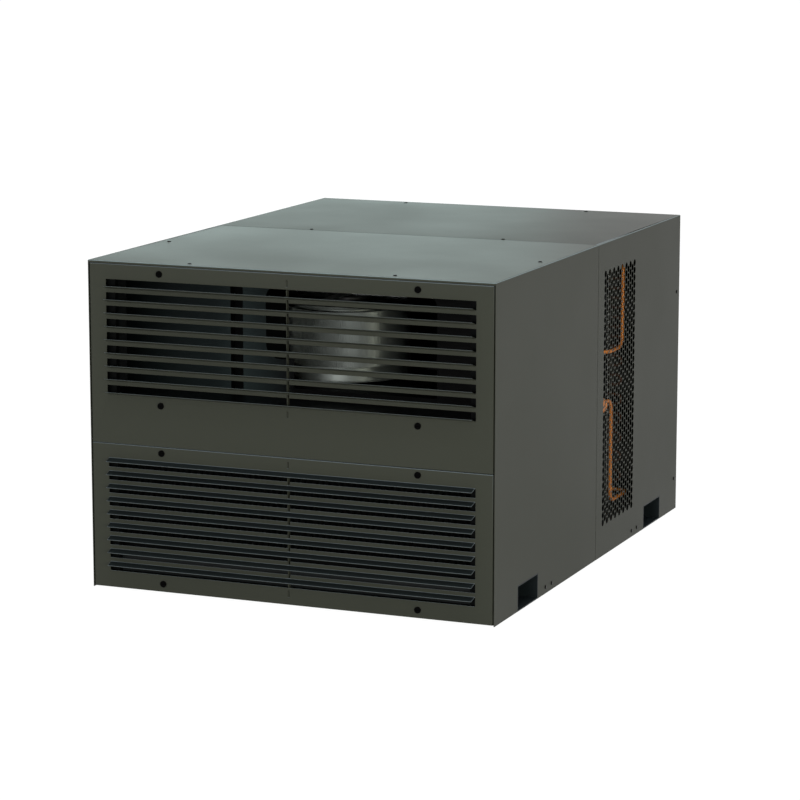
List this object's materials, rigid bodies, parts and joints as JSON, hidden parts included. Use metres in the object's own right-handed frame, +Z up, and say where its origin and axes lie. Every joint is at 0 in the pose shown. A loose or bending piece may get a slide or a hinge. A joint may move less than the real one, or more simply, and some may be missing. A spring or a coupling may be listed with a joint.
{
  "type": "monoblock refrigeration unit",
  "caption": "Sheet-metal monoblock refrigeration unit with louvred supply and return panels, perforated side air inlets, fork pockets, a supply blower and a rear condenser fan.",
  "frame": {"origin": "on the floor at the middle of the overall box, louvre blade tips included", "axes": "+X to the unit's right as seen from its louvred front, +Y from the louvred front to the rear, +Z up"},
  "size_m": [1.0436, 1.412, 0.8018],
  "materials": {
    "painted_sheet": "semi-gloss dark grey powder coat with a fine texture",
    "painted_frame": "satin black paint on the base frame",
    "galvanised": "galvanised steel sheet with a soft spangle",
    "inner_coat": "satin blue-grey coating on the inner sheets",
    "wheel_steel": "satin rolled steel, darkened",
    "fastener_black": "black zinc-plated or moulded fastener",
    "screw_black": "blackened screw heads",
    "copper": "bare copper tube, slightly dulled",
    "fin_aluminium": "thin bare aluminium fins",
    "shell_black": "gloss black paint on pressure shells",
    "valve_brass": "bare machined brass",
    "liner_foam": "closed-cell insulation with a dark skin",
    "rubber_black": "matt black rubber",
    "filter_fabric": "pleated dark grey filter fleece",
    "moulded_grey": "moulded grey plastic",
    "moulded_black": "moulded black plastic",
    "motor_black": "satin black motor housing"
  },
  "bodies": {
    "cabinet": {"base_pan": "painted_frame", "base_rails": "painted_frame", "blower_cheeks": "wheel_steel", "blower_motor": "motor_black", "blower_motor_bracket": "galvanised", "blower_scroll": "wheel_steel", "cable_gland": "moulded_black", "casing_screws": "screw_black", "compressor": "shell_black", "compressor_feet": "rubber_black", "condenser_bends": "copper", "condenser_end_plates": "galvanised", "condenser_fan_motor": "motor_black", "condenser_fan_shroud": "painted_frame", "condenser_fins": "fin_aluminium", "contactor": "moulded_grey", "discharge_line": "copper", "discharge_plate": "inner_coat", "drain_pan": "galvanised", "drain_pipe": "moulded_grey", "electrical_box": "galvanised", "electrical_box_lid": "galvanised", "evaporator_end_plates": "galvanised", "evaporator_fins": "fin_aluminium", "evaporator_header": "copper", "expansion_valve": "valve_brass", "filter_drier": "copper", "filter_tracks": "painted_frame", "fork_tube_front": "painted_frame", "fork_tube_rear": "painted_frame", "front_frame": "painted_sheet", "front_lower_panel": "painted_sheet", "front_upper_panel": "painted_sheet", "insulation_liner": "liner_foam", "liquid_line": "copper", "louvre_ribs": "painted_sheet", "plenum_floor": "inner_coat", "rear_fan_guard": "painted_frame", "rear_panel": "painted_sheet", "return_filter": "filter_fabric", "section_bulkhead": "galvanised", "side_front_left": "painted_sheet", "side_front_right": "painted_sheet", "side_rear_left": "painted_sheet", "side_rear_right": "painted_sheet", "stud_receptacles": "galvanised", "suction_accumulator": "shell_black", "suction_line": "copper", "top_front_cover": "painted_sheet", "top_rear_cover": "painted_sheet"},
    "blower_rotor": {"blower_wheel": "wheel_steel"},
    "fan_rotor": {"condenser_fan": "moulded_black"},
    "fastener_1": {"quarter_turn_1": "fastener_black"},
    "fastener_2": {"quarter_turn_2": "fastener_black"},
    "fastener_3": {"quarter_turn_3": "fastener_black"},
    "fastener_4": {"quarter_turn_4": "fastener_black"},
    "fastener_5": {"quarter_turn_5": "fastener_black"},
    "fastener_6": {"quarter_turn_6": "fastener_black"},
    "fastener_7": {"quarter_turn_7": "fastener_black"},
    "fastener_8": {"quarter_turn_8": "fastener_black"}
  },
  "joints": [
    {"name": "blower_spin", "type": "hinge", "parent": "cabinet", "child": "blower_rotor", "pos_m": [0, -0.32, 0.596], "axis": [0, 0, 1], "continuous": true},
    {"name": "fan_spin", "type": "hinge", "parent": "cabinet", "child": "fan_rotor", "pos_m": [0, 0.644, 0.425], "axis": [0, 1, 0], "continuous": true},
    {"name": "fastener_turn_1", "type": "hinge", "parent": "cabinet", "child": "fastener_1", "pos_m": [-0.33, -0.686, 0.7745], "axis": [0, -1, 0], "range_deg": [0, 90]},
    {"name": "fastener_turn_2", "type": "hinge", "parent": "cabinet", "child": "fastener_2", "pos_m": [0.33, -0.686, 0.7745], "axis": [0, -1, 0], "range_deg": [0, 90]},
    {"name": "fastener_turn_3", "type": "hinge", "parent": "cabinet", "child": "fastener_3", "pos_m": [-0.33, -0.686, 0.458], "axis": [0, -1, 0], "range_deg": [0, 90]},
    {"name": "fastener_turn_4", "type": "hinge", "parent": "cabinet", "child": "fastener_4", "pos_m": [0.33, -0.686, 0.458], "axis": [0, -1, 0], "range_deg": [0, 90]},
    {"name": "fastener_turn_5", "type": "hinge", "parent": "cabinet", "child": "fastener_5", "pos_m": [-0.33, -0.686, 0.3428], "axis": [0, -1, 0], "range_deg": [0, 90]},
    {"name": "fastener_turn_6", "type": "hinge", "parent": "cabinet", "child": "fastener_6", "pos_m": [0.33, -0.686, 0.3428], "axis": [0, -1, 0], "range_deg": [0, 90]},
    {"name": "fastener_turn_7", "type": "hinge", "parent": "cabinet", "child": "fastener_7", "pos_m": [-0.33, -0.686, 0.0228], "axis": [0, -1, 0], "range_deg": [0, 90]},
    {"name": "fastener_turn_8", "type": "hinge", "parent": "cabinet", "child": "fastener_8", "pos_m": [0.33, -0.686, 0.0228], "axis": [0, -1, 0], "range_deg": [0, 90]}
  ]
}
